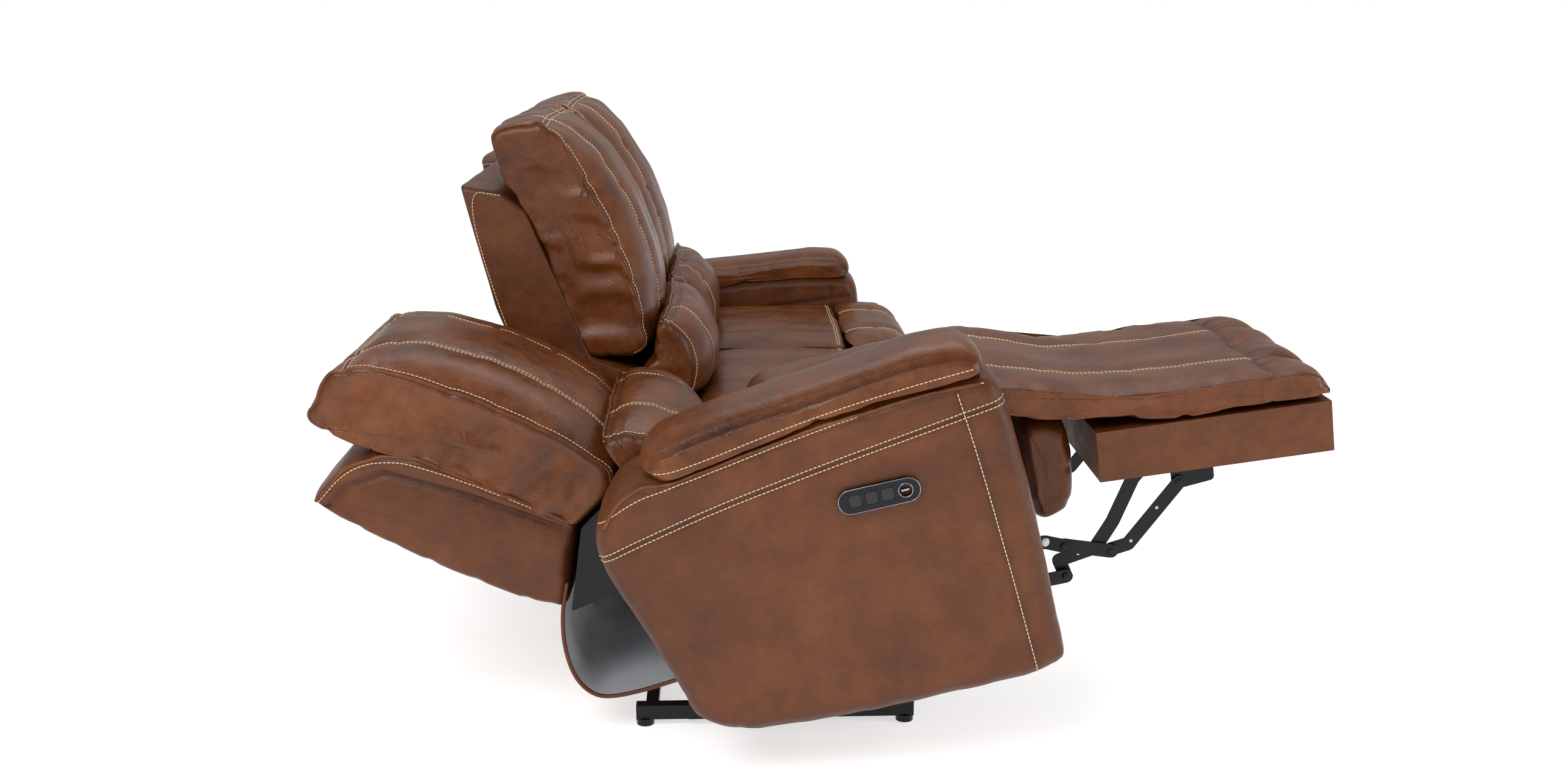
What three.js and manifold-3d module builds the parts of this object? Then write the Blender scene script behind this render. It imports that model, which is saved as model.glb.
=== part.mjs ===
// Three-place reclining sofa: two power recliners joined to a fixed middle place.
//
// Frame: +X is the way a sitter faces, +Y runs along the sofa from the reclined end to the
// upright end, +Z is up. The origin is the underside of the centre foot. Millimetres.
//
// Every recliner is drawn closed, in its own "closed frame", and then posed: OPENNESS 1 is
// fully reclined, 0 is closed. Profiles lie in the X-Z plane and are extruded along Y.

import * as THREE from 'three';
import { mergeVertices } from 'three/addons/utils/BufferGeometryUtils.js';
import Module from 'manifold-3d';

// ---------------------------------------------------------------- driving dimensions
const SEAT_WIDTH = 570;      // one place, from division to division
const SEAT_HEIGHT = 510;     // floor to the top of a closed seat
const SEAT_CUSHION = 85;     // thickness of a seat cushion
const ARM_WIDTH = 215;
const ARM_CLEARANCE = 55;    // floor to the underside of a closed arm
const ARM_FRONT = 284;       // X of the front face of a closed arm
const SIDE_GAP = 4;          // free space at each side of a place
const ARM_GAP = 4;           // free space between an arm and its chassis plate
const FIT = 0.3;             // gap between pieces that rest on each other
const SOFT_EDGE = 6;         // rounding along the sides of upholstered pieces

const BOARD_THICKNESS = 95;  // footrest board, measured front to back when closed
const BOARD_LENGTH = 435;    // footrest board, measured top to bottom when closed
const BOARD_FRONT = 344;     // X of the front face of a closed board
const SEAT_FRONT = BOARD_FRONT - BOARD_THICKNESS - 12;  // X of the front of a seat cushion
const BOARD_WALL = 7;
const BOARD_PANEL = 18;
const PAD_THICKNESS = 45;    // padding on the front of a board

const PLATE = 3;             // steel plate of the links and side plates
const PLATE_GAP = 2;         // side play between neighbouring plates
const LINK_WIDTH = 26;
const TUBE = 20;             // square cross tubes of the chassis
const PIN_RADIUS = 8;
const PIN_CLEARANCE = 0.5;

const FOOT_HEIGHT = 12;
const FOOT_RADIUS = 17;
const RAIL_HEIGHT = 28;
const RAIL_WIDTH = 24;
const RAIL_OFFSET = SEAT_WIDTH / 2 - 63;  // rail centre line from the middle of its place
const BASE_REAR = -266;
const BASE_FRONT = 267;
const LIFT_PIN_X = -147.5;   // axis of the rear lift link on the base
const LIFT_PIN_Z = 56;

const PANEL_LENGTH = 143;    // control panel in the arm
const PANEL_HEIGHT = 44;
const PANEL_THICKNESS = 6.7;
const PANEL_CENTRE = [46, 423];
const BUTTON_SIZE = 21;
const BUTTON_PITCH = 28;
const BUTTON_CLEARANCE = 0.5;
const BUTTON_PROUD = 1;
const BUTTON_TRAVEL = 1;

// Angles that a recliner turns through from closed to fully reclined, in degrees.
const TILT_ANGLE = 12.6;     // seat, arm and back together, about a pole behind the back
const BACK_ANGLE = 31.2;
const BOARD_ANGLE = 85;
const FLAP_ANGLE = 90;
const SHORT_LINK_ANGLE = 24.5;
const LONG_LINK_ANGLE = 95.5;
const ELBOW_LINK_ANGLE = 140.2;
const LIFT_ANGLE = 73.4;
const CARRIER_TRAVEL = 239;

// Pivots in the closed frame, as X and the height above the top of the seat.
const TILT_POLE = [-425, 522];
const BACK_PIVOT = [-100, -225];
const BOARD_POLE = [475, -6];
const FLAP_PIVOT = [237, -110];
const CHASSIS_LIFT_PIN = [-276, -355];
// Pivots of the footrest links, where they stand with the footrest out.
const SHORT_LINK_PIVOT = [368, -339];
const ELBOW_PIVOT = [453, -371];
const LOWER_PIVOT = [361, -398];
const BOARD_LINK_PIVOT = [601, -271];
const LONG_LINK_PIVOT = [595, -180];

const OPENNESS = { near: 1, far: 0 };

// ---------------------------------------------------------------- finishes
const finish = (color, roughness, metalness) =>
  new THREE.MeshStandardMaterial({ color, roughness, metalness });
const LEATHER = finish(0x7d4a2c, 0.45, 0);
const LEATHER_DARK = finish(0x5e3721, 0.5, 0);
const BLACK_STEEL = finish(0x17181a, 0.5, 0.6);
const BLACK_CLOTH = finish(0x15140f, 0.9, 0);
const GUNMETAL = finish(0x3c3d42, 0.25, 0.9);
const GREY_LINING = finish(0x8f9094, 0.9, 0);
const PLASTIC = finish(0x1b1b1d, 0.6, 0);

// ---------------------------------------------------------------- shape helpers
const wasm = await Module();
wasm.setup();

// Closed outline through points [x, z], each corner rounded to the given radius.
function roundedOutline(points, radius) {
  const shape = new THREE.Shape();
  const count = points.length;
  const toward = (from, to, distance) => {
    const length = Math.hypot(to[0] - from[0], to[1] - from[1]);
    const step = Math.min(distance, length * 0.45) / length;
    return [from[0] + (to[0] - from[0]) * step, from[1] + (to[1] - from[1]) * step];
  };
  points.forEach((corner, i) => {
    const entry = toward(corner, points[(i + count - 1) % count], radius);
    const exit = toward(corner, points[(i + 1) % count], radius);
    if (i === 0) shape.moveTo(...entry);
    else shape.lineTo(...entry);
    if (radius > 0) shape.quadraticCurveTo(...corner, ...exit);
  });
  return shape;
}

// Outline of a flat bar with round ends.
function barOutline(from, to, width) {
  const angle = Math.atan2(to[1] - from[1], to[0] - from[0]);
  const shape = new THREE.Shape();
  shape.absarc(...to, width / 2, angle - Math.PI / 2, angle + Math.PI / 2);
  shape.absarc(...from, width / 2, angle + Math.PI / 2, angle + Math.PI * 1.5);
  return shape;
}

// Extrudes an X-Z outline along Y from y0 to y1, with optional rounded edges.
function slab(shape, y0, y1, bevel = 0) {
  const geometry = new THREE.ExtrudeGeometry(shape, {
    depth: y1 - y0 - 2 * bevel,
    bevelEnabled: bevel > 0,
    bevelThickness: bevel,
    bevelSize: bevel,
    bevelOffset: -bevel,
    bevelSegments: 1,
    curveSegments: 3,
  });
  geometry.rotateX(Math.PI / 2);
  geometry.translate(0, y1 - bevel, 0);
  return geometry;
}

function box(x0, x1, y0, y1, z0, z1) {
  const geometry = new THREE.BoxGeometry(x1 - x0, y1 - y0, z1 - z0);
  geometry.translate((x0 + x1) / 2, (y0 + y1) / 2, (z0 + z1) / 2);
  return geometry;
}

// Round bar along Y.
function rod(x, z, radius, y0, y1) {
  const geometry = new THREE.CylinderGeometry(radius, radius, y1 - y0, 12);
  geometry.translate(x, (y0 + y1) / 2, z);
  return geometry;
}

function foot(x, y, radius, height) {
  const geometry = new THREE.CylinderGeometry(radius, radius, height, 14);
  geometry.rotateX(Math.PI / 2);
  geometry.translate(x, y, height / 2);
  return geometry;
}

function toSolid(geometry) {
  const bare = geometry.clone();
  bare.deleteAttribute('normal');
  bare.deleteAttribute('uv');
  const merged = mergeVertices(bare, 1e-4);
  return new wasm.Manifold(new wasm.Mesh({
    numProp: 3,
    vertProperties: new Float32Array(merged.attributes.position.array),
    triVerts: new Uint32Array(merged.index.array),
  }));
}

function fromSolid(solid) {
  const mesh = solid.getMesh();
  const geometry = new THREE.BufferGeometry();
  geometry.setAttribute('position', new THREE.BufferAttribute(mesh.vertProperties, 3));
  geometry.setIndex(new THREE.BufferAttribute(mesh.triVerts, 1));
  geometry.computeVertexNormals();
  return geometry;
}

function join(parts, cuts = []) {
  let solid = parts.map(toSolid).reduce((a, b) => a.add(b));
  for (const cut of cuts) solid = solid.subtract(toSolid(cut));
  return fromSolid(solid);
}

// Slab that follows a bent line of points, with the given thickness.
function sheetOutline(points, thickness) {
  const sideOf = (i, sign) => {
    const before = points[Math.max(i - 1, 0)];
    const after = points[Math.min(i + 1, points.length - 1)];
    const length = Math.hypot(after[0] - before[0], after[1] - before[1]);
    const normal = [-(after[1] - before[1]) / length, (after[0] - before[0]) / length];
    return [
      points[i][0] + sign * normal[0] * thickness / 2,
      points[i][1] + sign * normal[1] * thickness / 2,
    ];
  };
  const left = points.map((_, i) => sideOf(i, 1));
  const right = points.map((_, i) => sideOf(i, -1)).reverse();
  return roundedOutline([...left, ...right], 0);
}

function piece(parent, name, geometry, material) {
  const mesh = new THREE.Mesh(geometry, material);
  mesh.name = name;
  parent.add(mesh);
  return mesh;
}

// Group turned by an angle in the X-Z plane (from +X toward +Z) about an axis along Y.
// What is added to it keeps the coordinates of the parent's frame.
function turned(parent, [x, z], degrees, name = '') {
  const axis = new THREE.Group();
  axis.name = name;
  axis.position.set(x, 0, z);
  axis.rotation.y = -THREE.MathUtils.degToRad(degrees);
  const frame = new THREE.Group();
  frame.position.set(-x, 0, -z);
  axis.add(frame);
  parent.add(axis);
  return frame;
}

// ---------------------------------------------------------------- profiles
// Heights in these profiles are measured from the top of the seat.
const seatZ = (points) => points.map(([x, z]) => [x, z + SEAT_HEIGHT]);
const at = ([x, z]) => [x, z + SEAT_HEIGHT];

const BOARD_REAR = BOARD_FRONT - BOARD_THICKNESS;
const BOARD_TOP = -5;
const BOARD_BOTTOM = BOARD_TOP - BOARD_LENGTH;
const CUSHION_BOTTOM = -SEAT_CUSHION;
const TUBE_TOP = CUSHION_BOTTOM - 3;

const SEAT_PROFILE = [
  [-173, CUSHION_BOTTOM], [SEAT_FRONT, CUSHION_BOTTOM], [SEAT_FRONT, -8], [SEAT_FRONT - 9, 1],
  [-105, 1],
  [-143, -10], [-173, -40],
];
const SHELL_PROFILE = [
  [-505, -8], [-374, 95], [-505, 412], [-550, 446], [-614, 469], [-696, 462],
  [-675, 315], [-608, 158],
];
const MIDDLE_SHELL_PROFILE = [
  [-296, -440], [-276, -84], [-276, 88], [-374, 95], [-505, 412], [-561, 453],
  [-644, 470], [-578, 205], [-500, 0], [-450, -60], [-340, -440],
];
const HEAD_PROFILE = [
  [-370, 99], [-262, 97], [-232, 130], [-229, 220], [-246, 300], [-290, 420], [-360, 535],
  [-423, 580], [-498, 600], [-583, 574], [-574, 492], [-546, 450], [-500, 414],
];
const LUMBAR_PROFILE = [
  [-270, 6], [-128, 6], [-112, 30], [-109, 85], [-125, 130], [-160, 172], [-195, 188],
  [-224, 176], [-224, 92], [-270, 88],
];
const BACK_FRAME_PROFILE = [
  [-350, -70], [-276, -70], [-276, 90], [-370, 87], [-498, -14],
];
const CHASSIS_PROFILE = [
  [-300, -345], [-262, -385], [180, -385], [262, -470], [290, -462], [292, -250],
  [250, TUBE_TOP], [-170, TUBE_TOP], [-190, -170], [-300, -320],
];
const FLAP_PROFILE = [
  [331, -106], [334, -288], [406, -262], [412, -180], [392, -156], [370, -133], [342, -107],
];
const SKIRT_CLOSED = [[-508, -20], [-450, -224], [-391, -428]];
const SKIRT_SAGGING = [
  [-563, -252], [-577, -320], [-572, -384], [-550, -420], [-519, -432], [-391, -428],
];
const LONG_LINK_PATH = [
  LOWER_PIVOT, [355, -368], [426, -359], [466, -316], [517, -242], LONG_LINK_PIVOT,
];

// The arm in its own measure: X back from the front face, Z up from the underside.
const ARM_REAR = -731;
const ARM_PROFILE = [
  [0, 0], [0, 505], [-22, 526], [-140, 529], [-318, 514], [-582, 468], [-635, 462],
  [-690, 441], [-720, 403], [ARM_REAR, 372], [-724, 321], [-684, 220], [-648, 106],
  [-640, 45], [-534, 7], [-442, 0],
];
const ARM_PAD_PROFILE = [
  [-29, 530], [-24, 560], [-56, 596], [-126, 596], [-305, 575], [-469, 560], [-583, 539],
  [-622, 501], [-582, 472], [-318, 518], [-140, 533],
];
const armPoints = (points, lift = 0) =>
  points.map(([x, z]) => [x + ARM_FRONT, z + ARM_CLEARANCE + lift]);

// Plates of the side mechanism are stacked in planes from the outside inwards.
const PLANE = {
  chassis: 0, back: 1, carrier: 2, shortLink: 3, longLink: 4, elbowLink: 5,
  boardBracket: 6, lift: 7,
};
const HALF = SEAT_WIDTH / 2 - SIDE_GAP;
const planeOuter = (plane) => HALF - plane * (PLATE + PLATE_GAP);
const BOARD_HALF = HALF - PLATE - PLATE_GAP;
const FLAP_HALF = planeOuter(PLANE.lift) - 10;
const SOFT_HALF = HALF - 1;

// The two Y ranges, one at each side of a place, that a stacked plate fills.
function plateSpans(centre, plane) {
  const outer = planeOuter(plane);
  return [
    [centre - outer, centre - outer + PLATE],
    [centre + outer - PLATE, centre + outer],
  ];
}

const bothPlates = (shape, centre, plane) =>
  plateSpans(centre, plane).map(([y0, y1]) => slab(shape, y0, y1));

// ---------------------------------------------------------------- base and lift
function addBase(parent, name, centre) {
  const railTop = FOOT_HEIGHT + RAIL_HEIGHT;
  const lugInner = planeOuter(PLANE.lift) - PLATE - PLATE_GAP - 7;
  const parts = [];
  const holes = [];
  for (const side of [-1, 1]) {
    const rail = centre + side * RAIL_OFFSET;
    parts.push(box(BASE_REAR, BASE_FRONT, rail - RAIL_WIDTH / 2, rail + RAIL_WIDTH / 2,
      FOOT_HEIGHT, railTop));
    const lug = [centre + side * RAIL_OFFSET, centre + side * (lugInner + 6)].sort((a, b) => a - b);
    parts.push(box(LIFT_PIN_X - 19, LIFT_PIN_X + 19, ...lug, FOOT_HEIGHT + 2, LIFT_PIN_Z + 19));
    holes.push(rod(LIFT_PIN_X, LIFT_PIN_Z, PIN_RADIUS + 2 + PIN_CLEARANCE,
      rail - RAIL_WIDTH * 2, rail + RAIL_WIDTH * 2));
    for (const x of [BASE_REAR + FOOT_RADIUS, BASE_FRONT - FOOT_RADIUS]) {
      parts.push(foot(x, rail, FOOT_RADIUS, FOOT_HEIGHT + 1));
    }
  }
  for (const x of [BASE_REAR + 30, BASE_FRONT - 30]) {
    parts.push(box(x - RAIL_WIDTH / 2, x + RAIL_WIDTH / 2, centre - RAIL_OFFSET,
      centre + RAIL_OFFSET, FOOT_HEIGHT + 3, railTop - 3));
  }
  piece(parent, `${name}_base_frame`, join(parts, holes), BLACK_STEEL);
}

function addLiftLink(parent, name, centre, openness) {
  const base = [LIFT_PIN_X, LIFT_PIN_Z];
  const frame = turned(parent, base, -LIFT_ANGLE * openness, `${name}_lift_axis`);
  const bar = barOutline(base, at(CHASSIS_LIFT_PIN), LINK_WIDTH + 4);
  const reach = planeOuter(PLANE.lift) - PLATE / 2;
  const torqueTube = rod(...base, PIN_RADIUS + 2, centre - reach, centre + reach);
  piece(frame, `${name}_rear_lift_link`,
    join([...bothPlates(bar, centre, PLANE.lift), torqueTube]), BLACK_STEEL);
}

// ---------------------------------------------------------------- chassis
function addChassis(frame, name, centre) {
  const plates = bothPlates(roundedOutline(seatZ(CHASSIS_PROFILE), 12), centre, PLANE.chassis);
  const inner = HALF - PLATE / 2;
  const tubes = [[-153, TUBE_TOP], [207, TUBE_TOP], [-233, -270]].map(([x, top]) =>
    box(x, x + TUBE, centre - inner, centre + inner,
      SEAT_HEIGHT + top - TUBE, SEAT_HEIGHT + top));
  const pins = [];
  for (const side of [-1, 1]) {
    const from = centre + side * inner;
    const backPin = centre + side * (planeOuter(PLANE.back) - PLATE - 1);
    const liftPin = centre + side * (planeOuter(PLANE.lift) + PLATE_GAP);
    pins.push(rod(...at(BACK_PIVOT), PIN_RADIUS, ...[from, backPin].sort((a, b) => a - b)));
    pins.push(rod(...at(CHASSIS_LIFT_PIN), PIN_RADIUS, ...[from, liftPin].sort((a, b) => a - b)));
  }
  piece(frame, `${name}_chassis_frame`, join([...plates, ...tubes, ...pins]), BLACK_STEEL);
}

function addMotor(frame, name, centre) {
  const [x0, x1, reach] = [-203, 27, 137];
  const [z0, z1] = [SEAT_HEIGHT - 415, SEAT_HEIGHT - 350];
  const shaft = new THREE.CylinderGeometry(12, 12, reach - x1 + 4, 16);
  shaft.rotateZ(Math.PI / 2);
  shaft.translate((reach + x1 - 4) / 2, centre, (z0 + z1) / 2);
  const housing = slab(roundedOutline([[x0, z0], [x1, z0], [x1, z1], [x0, z1]], 14),
    centre - 34, centre + 34, 6);
  piece(frame, `${name}_drive_motor`, join([housing, shaft]), PLASTIC);
}

function addSeatCushion(frame, name, centre) {
  piece(frame, `${name}_seat_cushion`,
    slab(roundedOutline(seatZ(SEAT_PROFILE), 10), centre - SOFT_HALF, centre + SOFT_HALF,
      SOFT_EDGE), LEATHER);
}

// ---------------------------------------------------------------- arm and controls
// side is -1 for the arm at the -Y end and 1 for the arm at the +Y end.
function addArm(frame, name, side) {
  const inner = side * (1.5 * SEAT_WIDTH + ARM_GAP / 2);
  const outer = side * (1.5 * SEAT_WIDTH + ARM_WIDTH);
  const span = [inner, outer].sort((a, b) => a - b);
  const inset = 10;
  piece(frame, `${name}_arm_body`,
    slab(roundedOutline(armPoints(ARM_PROFILE), 16), ...span, SOFT_EDGE), LEATHER);
  piece(frame, `${name}_arm_pad`,
    slab(roundedOutline(armPoints(ARM_PAD_PROFILE, 3), 14), span[0] + inset, span[1] - inset, SOFT_EDGE),
    LEATHER);
  addControls(frame, name, side, outer);
}

function addControls(frame, name, side, armFace) {
  const [cx, cz] = PANEL_CENTRE;
  const ySpan = (near, far) =>
    [armFace + side * near, armFace + side * far].sort((a, b) => a - b);
  const straight = PANEL_LENGTH / 2 - PANEL_HEIGHT / 2;
  const panel = barOutline([cx - straight, cz], [cx + straight, cz], PANEL_HEIGHT);
  const square = (x, half) => [[x - half, cz - half], [x + half, cz - half],
    [x + half, cz + half], [x - half, cz + half]];
  const buttonX = [0, 1, 2].map((i) => cx - PANEL_LENGTH / 2 + 30 + i * BUTTON_PITCH);
  for (const x of buttonX) {
    panel.holes.push(roundedOutline(square(x, BUTTON_SIZE / 2 + BUTTON_CLEARANCE), 5));
  }
  const socket = new THREE.Path();
  socket.absarc(cx + PANEL_LENGTH / 2 - 26, cz, 12, 0, Math.PI * 2, true);
  panel.holes.push(socket);
  piece(frame, `${name}_control_panel`,
    slab(panel, ...ySpan(FIT, FIT + PANEL_THICKNESS)), GUNMETAL);
  buttonX.forEach((x, i) => {
    const button = slab(roundedOutline(square(x, BUTTON_SIZE / 2), 5),
      ...ySpan(FIT + BUTTON_TRAVEL + 0.2, FIT + PANEL_THICKNESS + BUTTON_PROUD), 0.6);
    piece(frame, `${name}_button_${i + 1}`, button, PLASTIC);
  });
}

// ---------------------------------------------------------------- back
function addBack(frame, name, centre, openness) {
  const back = turned(frame, at(BACK_PIVOT), BACK_ANGLE * openness, `${name}_back_axis`);
  const y = [centre - HALF, centre + HALF];
  piece(back, `${name}_back_shell`,
    slab(roundedOutline(seatZ(SHELL_PROFILE), 18), ...y, SOFT_EDGE), LEATHER);
  addBackCushions(back, name, centre);
  const outer = planeOuter(PLANE.back);
  const core = slab(roundedOutline(seatZ(BACK_FRAME_PROFILE), 6), centre - outer, centre + outer);
  const arms = bothPlates(barOutline(at([-310, -40]), at(BACK_PIVOT), 44), centre, PLANE.back);
  const bores = plateSpans(centre, PLANE.back).map(([y0, y1]) =>
    rod(...at(BACK_PIVOT), PIN_RADIUS + PIN_CLEARANCE, y0 - PLATE, y1 + PLATE));
  piece(back, `${name}_back_frame`, join([core, ...arms], bores), BLACK_STEEL);
}

function addBackCushions(frame, name, centre) {
  const y = [centre - SOFT_HALF, centre + SOFT_HALF];
  piece(frame, `${name}_head_cushion`,
    slab(roundedOutline(seatZ(HEAD_PROFILE), 18), ...y, SOFT_EDGE), LEATHER);
  piece(frame, `${name}_lumbar_cushion`,
    slab(roundedOutline(seatZ(LUMBAR_PROFILE), 14), ...y, SOFT_EDGE), LEATHER);
}

// ---------------------------------------------------------------- footrest
function addFootrest(frame, name, centre, openness) {
  const board = turned(frame, at(BOARD_POLE), BOARD_ANGLE * openness, `${name}_footrest_axis`);
  const [x0, x1] = [BOARD_REAR, BOARD_FRONT];
  const [z0, z1] = [SEAT_HEIGHT + BOARD_BOTTOM, SEAT_HEIGHT + BOARD_TOP];
  const y = [centre - BOARD_HALF, centre + BOARD_HALF];
  const tray = box(x0, x1, ...y, z0, z1);
  const hollow = box(x0 - 5, x1 - BOARD_PANEL, y[0] + BOARD_WALL, y[1] - BOARD_WALL,
    z0 + BOARD_WALL, z1 - BOARD_WALL);
  const bracket = roundedOutline([
    [x1 - BOARD_PANEL / 2, z1 - 135], [x0 - 34, z1 - 137], [x0 - 40, z1 - 155],
    [x0 - 32, z1 - 217], [x1 - BOARD_PANEL / 2, z1 - 215],
  ], 8);
  const shell = fromSolid(toSolid(tray).subtract(toSolid(hollow)));
  piece(board, `${name}_footrest_board`,
    join([shell, ...bothPlates(bracket, centre, PLANE.boardBracket)]), LEATHER_DARK);
  const pad = roundedOutline([
    [x1 + FIT, z0 + 5], [x1 + PAD_THICKNESS, z0 + 5], [x1 + PAD_THICKNESS, z1], [x1 + FIT, z1],
  ], 12);
  piece(board, `${name}_footrest_pad`, slab(pad, ...y, SOFT_EDGE), LEATHER);
  return board;
}

function addFlap(frame, name, centre, openness) {
  const flap = turned(frame, at(FLAP_PIVOT), -FLAP_ANGLE * (1 - openness), `${name}_flap_axis`);
  const body = slab(roundedOutline(seatZ(FLAP_PROFILE), 10), centre - FLAP_HALF,
    centre + FLAP_HALF);
  const leaf = box(FLAP_PIVOT[0] + 5, 340, centre - FLAP_HALF + 20, centre + FLAP_HALF - 20,
    SEAT_HEIGHT - 119, SEAT_HEIGHT - 113);
  piece(flap, `${name}_mid_flap`, join([body, leaf]), LEATHER);
}

// Carrier that slides out of the chassis with the footrest, and holds its links.
function addCarrier(frame, name, centre, openness) {
  const slide = new THREE.Group();
  slide.name = `${name}_carrier_axis`;
  slide.position.x = -CARRIER_TRAVEL * (1 - openness);
  frame.add(slide);
  const [upper, lower] = [at(SHORT_LINK_PIVOT), at(LOWER_PIVOT)];
  const rear = 137;
  const shapes = [
    barOutline([rear + 25, upper[1] + 16], [upper[0] - 34, upper[1] + 16], LINK_WIDTH),
    barOutline([upper[0] - 34, upper[1] + 16], upper, LINK_WIDTH),
    barOutline([rear + 25, lower[1] + 4], lower, LINK_WIDTH),
    roundedOutline([[rear, lower[1] - 8], [262, lower[1] - 8], [262, upper[1] + 26],
      [rear, upper[1] + 26]], 10),
  ];
  const plates = shapes.flatMap((shape) => bothPlates(shape, centre, PLANE.carrier));
  const reach = planeOuter(PLANE.carrier) - PLATE / 2;
  const tube = rod(rear + 20, SEAT_HEIGHT - 325, PIN_RADIUS, centre - reach, centre + reach);
  const pins = [-1, 1].map((side) => {
    const ends = [reach, planeOuter(PLANE.shortLink) - PLATE - 1].map((v) => centre + side * v);
    return rod(...upper, PIN_RADIUS - 2, ...ends.sort((a, b) => a - b));
  });
  piece(slide, `${name}_link_carrier`, join([...plates, tube, ...pins]), BLACK_STEEL);
  const shortLinks = turned(slide, upper, SHORT_LINK_ANGLE * (1 - openness),
    `${name}_short_link_axis`);
  addLinkPair(shortLinks, `${name}_short_link`, [upper, at(ELBOW_PIVOT)], centre,
    PLANE.shortLink, upper);
}

// One bent flat link at each side of a place, bored at its driven pivot.
function addLinkPair(frame, name, path, centre, plane, bore) {
  const segments = path.slice(1).map((point, i) => barOutline(path[i], point, LINK_WIDTH));
  plateSpans(centre, plane).forEach(([y0, y1], side) => {
    const hole = rod(...bore, PIN_RADIUS - 2 + PIN_CLEARANCE, y0 - PLATE, y1 + PLATE);
    piece(frame, `${name}_${side === 0 ? 'right' : 'left'}`,
      join(segments.map((shape) => slab(shape, y0, y1)), [hole]), BLACK_STEEL);
  });
}

// Links carried by the board. Their outlines are drawn where they stand with the footrest out.
function addBoardLinks(board, name, centre, openness) {
  const open = turned(board, at(BOARD_POLE), -BOARD_ANGLE);
  const longLinks = turned(open, at(LONG_LINK_PIVOT), LONG_LINK_ANGLE * (1 - openness),
    `${name}_long_link_axis`);
  addLinkPair(longLinks, `${name}_long_link`, seatZ(LONG_LINK_PATH), centre,
    PLANE.longLink, at(LONG_LINK_PIVOT));
  const elbowLinks = turned(open, at(BOARD_LINK_PIVOT), ELBOW_LINK_ANGLE * (1 - openness),
    `${name}_elbow_link_axis`);
  addLinkPair(elbowLinks, `${name}_elbow_link`,
    seatZ([ELBOW_PIVOT, [488, -368], BOARD_LINK_PIVOT]), centre,
    PLANE.elbowLink, at(BOARD_LINK_PIVOT));
}

// ---------------------------------------------------------------- places
function addRecliner(parent, name, side) {
  const centre = side * SEAT_WIDTH;
  const openness = OPENNESS[name];
  addBase(parent, name, centre);
  addLiftLink(parent, name, centre, openness);
  const frame = turned(parent, at(TILT_POLE), TILT_ANGLE * openness, `${name}_tilt_axis`);
  addChassis(frame, name, centre);
  addMotor(frame, name, centre);
  addSeatCushion(frame, name, centre);
  addArm(frame, name, side);
  addBack(frame, name, centre, openness);
  const board = addFootrest(frame, name, centre, openness);
  addFlap(frame, name, centre, openness);
  addCarrier(frame, name, centre, openness);
  addBoardLinks(board, name, centre, openness);
  const skirt = sheetOutline(seatZ(openness > 0.5 ? SKIRT_SAGGING : SKIRT_CLOSED), 5);
  piece(frame, `${name}_rear_skirt`,
    slab(skirt, centre - BOARD_HALF, centre + BOARD_HALF), GREY_LINING);
}

function addMiddle(parent) {
  const wall = 18;
  const [x0, x1] = [-250, BOARD_FRONT];
  const bottom = 60;
  const deck = SEAT_HEIGHT + TUBE_TOP;
  const outline = roundedOutline([
    [x0, bottom], [x1, bottom], [x1, SEAT_HEIGHT + BOARD_TOP], [BOARD_REAR, SEAT_HEIGHT + BOARD_TOP],
    [BOARD_REAR, deck], [x0, deck],
  ], 0);
  const web = 30;
  const hollows = [-1, 1].map((side) => {
    const y = [side * web, side * (HALF - wall)].sort((a, b) => a - b);
    return box(x0 + wall, BOARD_FRONT - wall, ...y, bottom - 5, deck - wall);
  });
  const feet = [];
  const footInset = wall + 10;
  for (const x of [x0 + footInset, x1 - footInset]) {
    for (const y of [footInset - HALF, HALF - footInset]) feet.push(foot(x, y, 20, bottom + 30));
  }
  piece(parent, 'middle_seat_frame', join([
    fromSolid(hollows.map(toSolid).reduce((solid, cut) => solid.subtract(cut),
      toSolid(slab(outline, -HALF, HALF)))),
    ...feet,
  ]), BLACK_CLOTH);
  piece(parent, 'centre_foot', foot(0, 0, 26, bottom - FIT), BLACK_STEEL);
  addSeatCushion(parent, 'middle', 0);
  const pad = roundedOutline([
    [x1 + FIT, bottom + 10], [x1 + PAD_THICKNESS, bottom + 10],
    [x1 + PAD_THICKNESS, SEAT_HEIGHT + BOARD_TOP], [x1 + FIT, SEAT_HEIGHT + BOARD_TOP],
  ], 12);
  piece(parent, 'middle_front_pad', slab(pad, -SOFT_HALF, SOFT_HALF, SOFT_EDGE), LEATHER);
  piece(parent, 'middle_back_shell',
    slab(roundedOutline(seatZ(MIDDLE_SHELL_PROFILE), 10), -HALF, HALF), LEATHER);
  addBackCushions(parent, 'middle', 0);
}

const sofa = new THREE.Group();
sofa.name = 'reclining_sofa';
addRecliner(sofa, 'near', -1);
addMiddle(sofa);
addRecliner(sofa, 'far', 1);

export default sofa;
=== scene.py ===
"""Leather, padding, stitching, lining and light for the three-place reclining sofa."""
import math

import bmesh
import bpy
import numpy as np
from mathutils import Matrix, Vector
from mathutils.bvhtree import BVHTree


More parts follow.
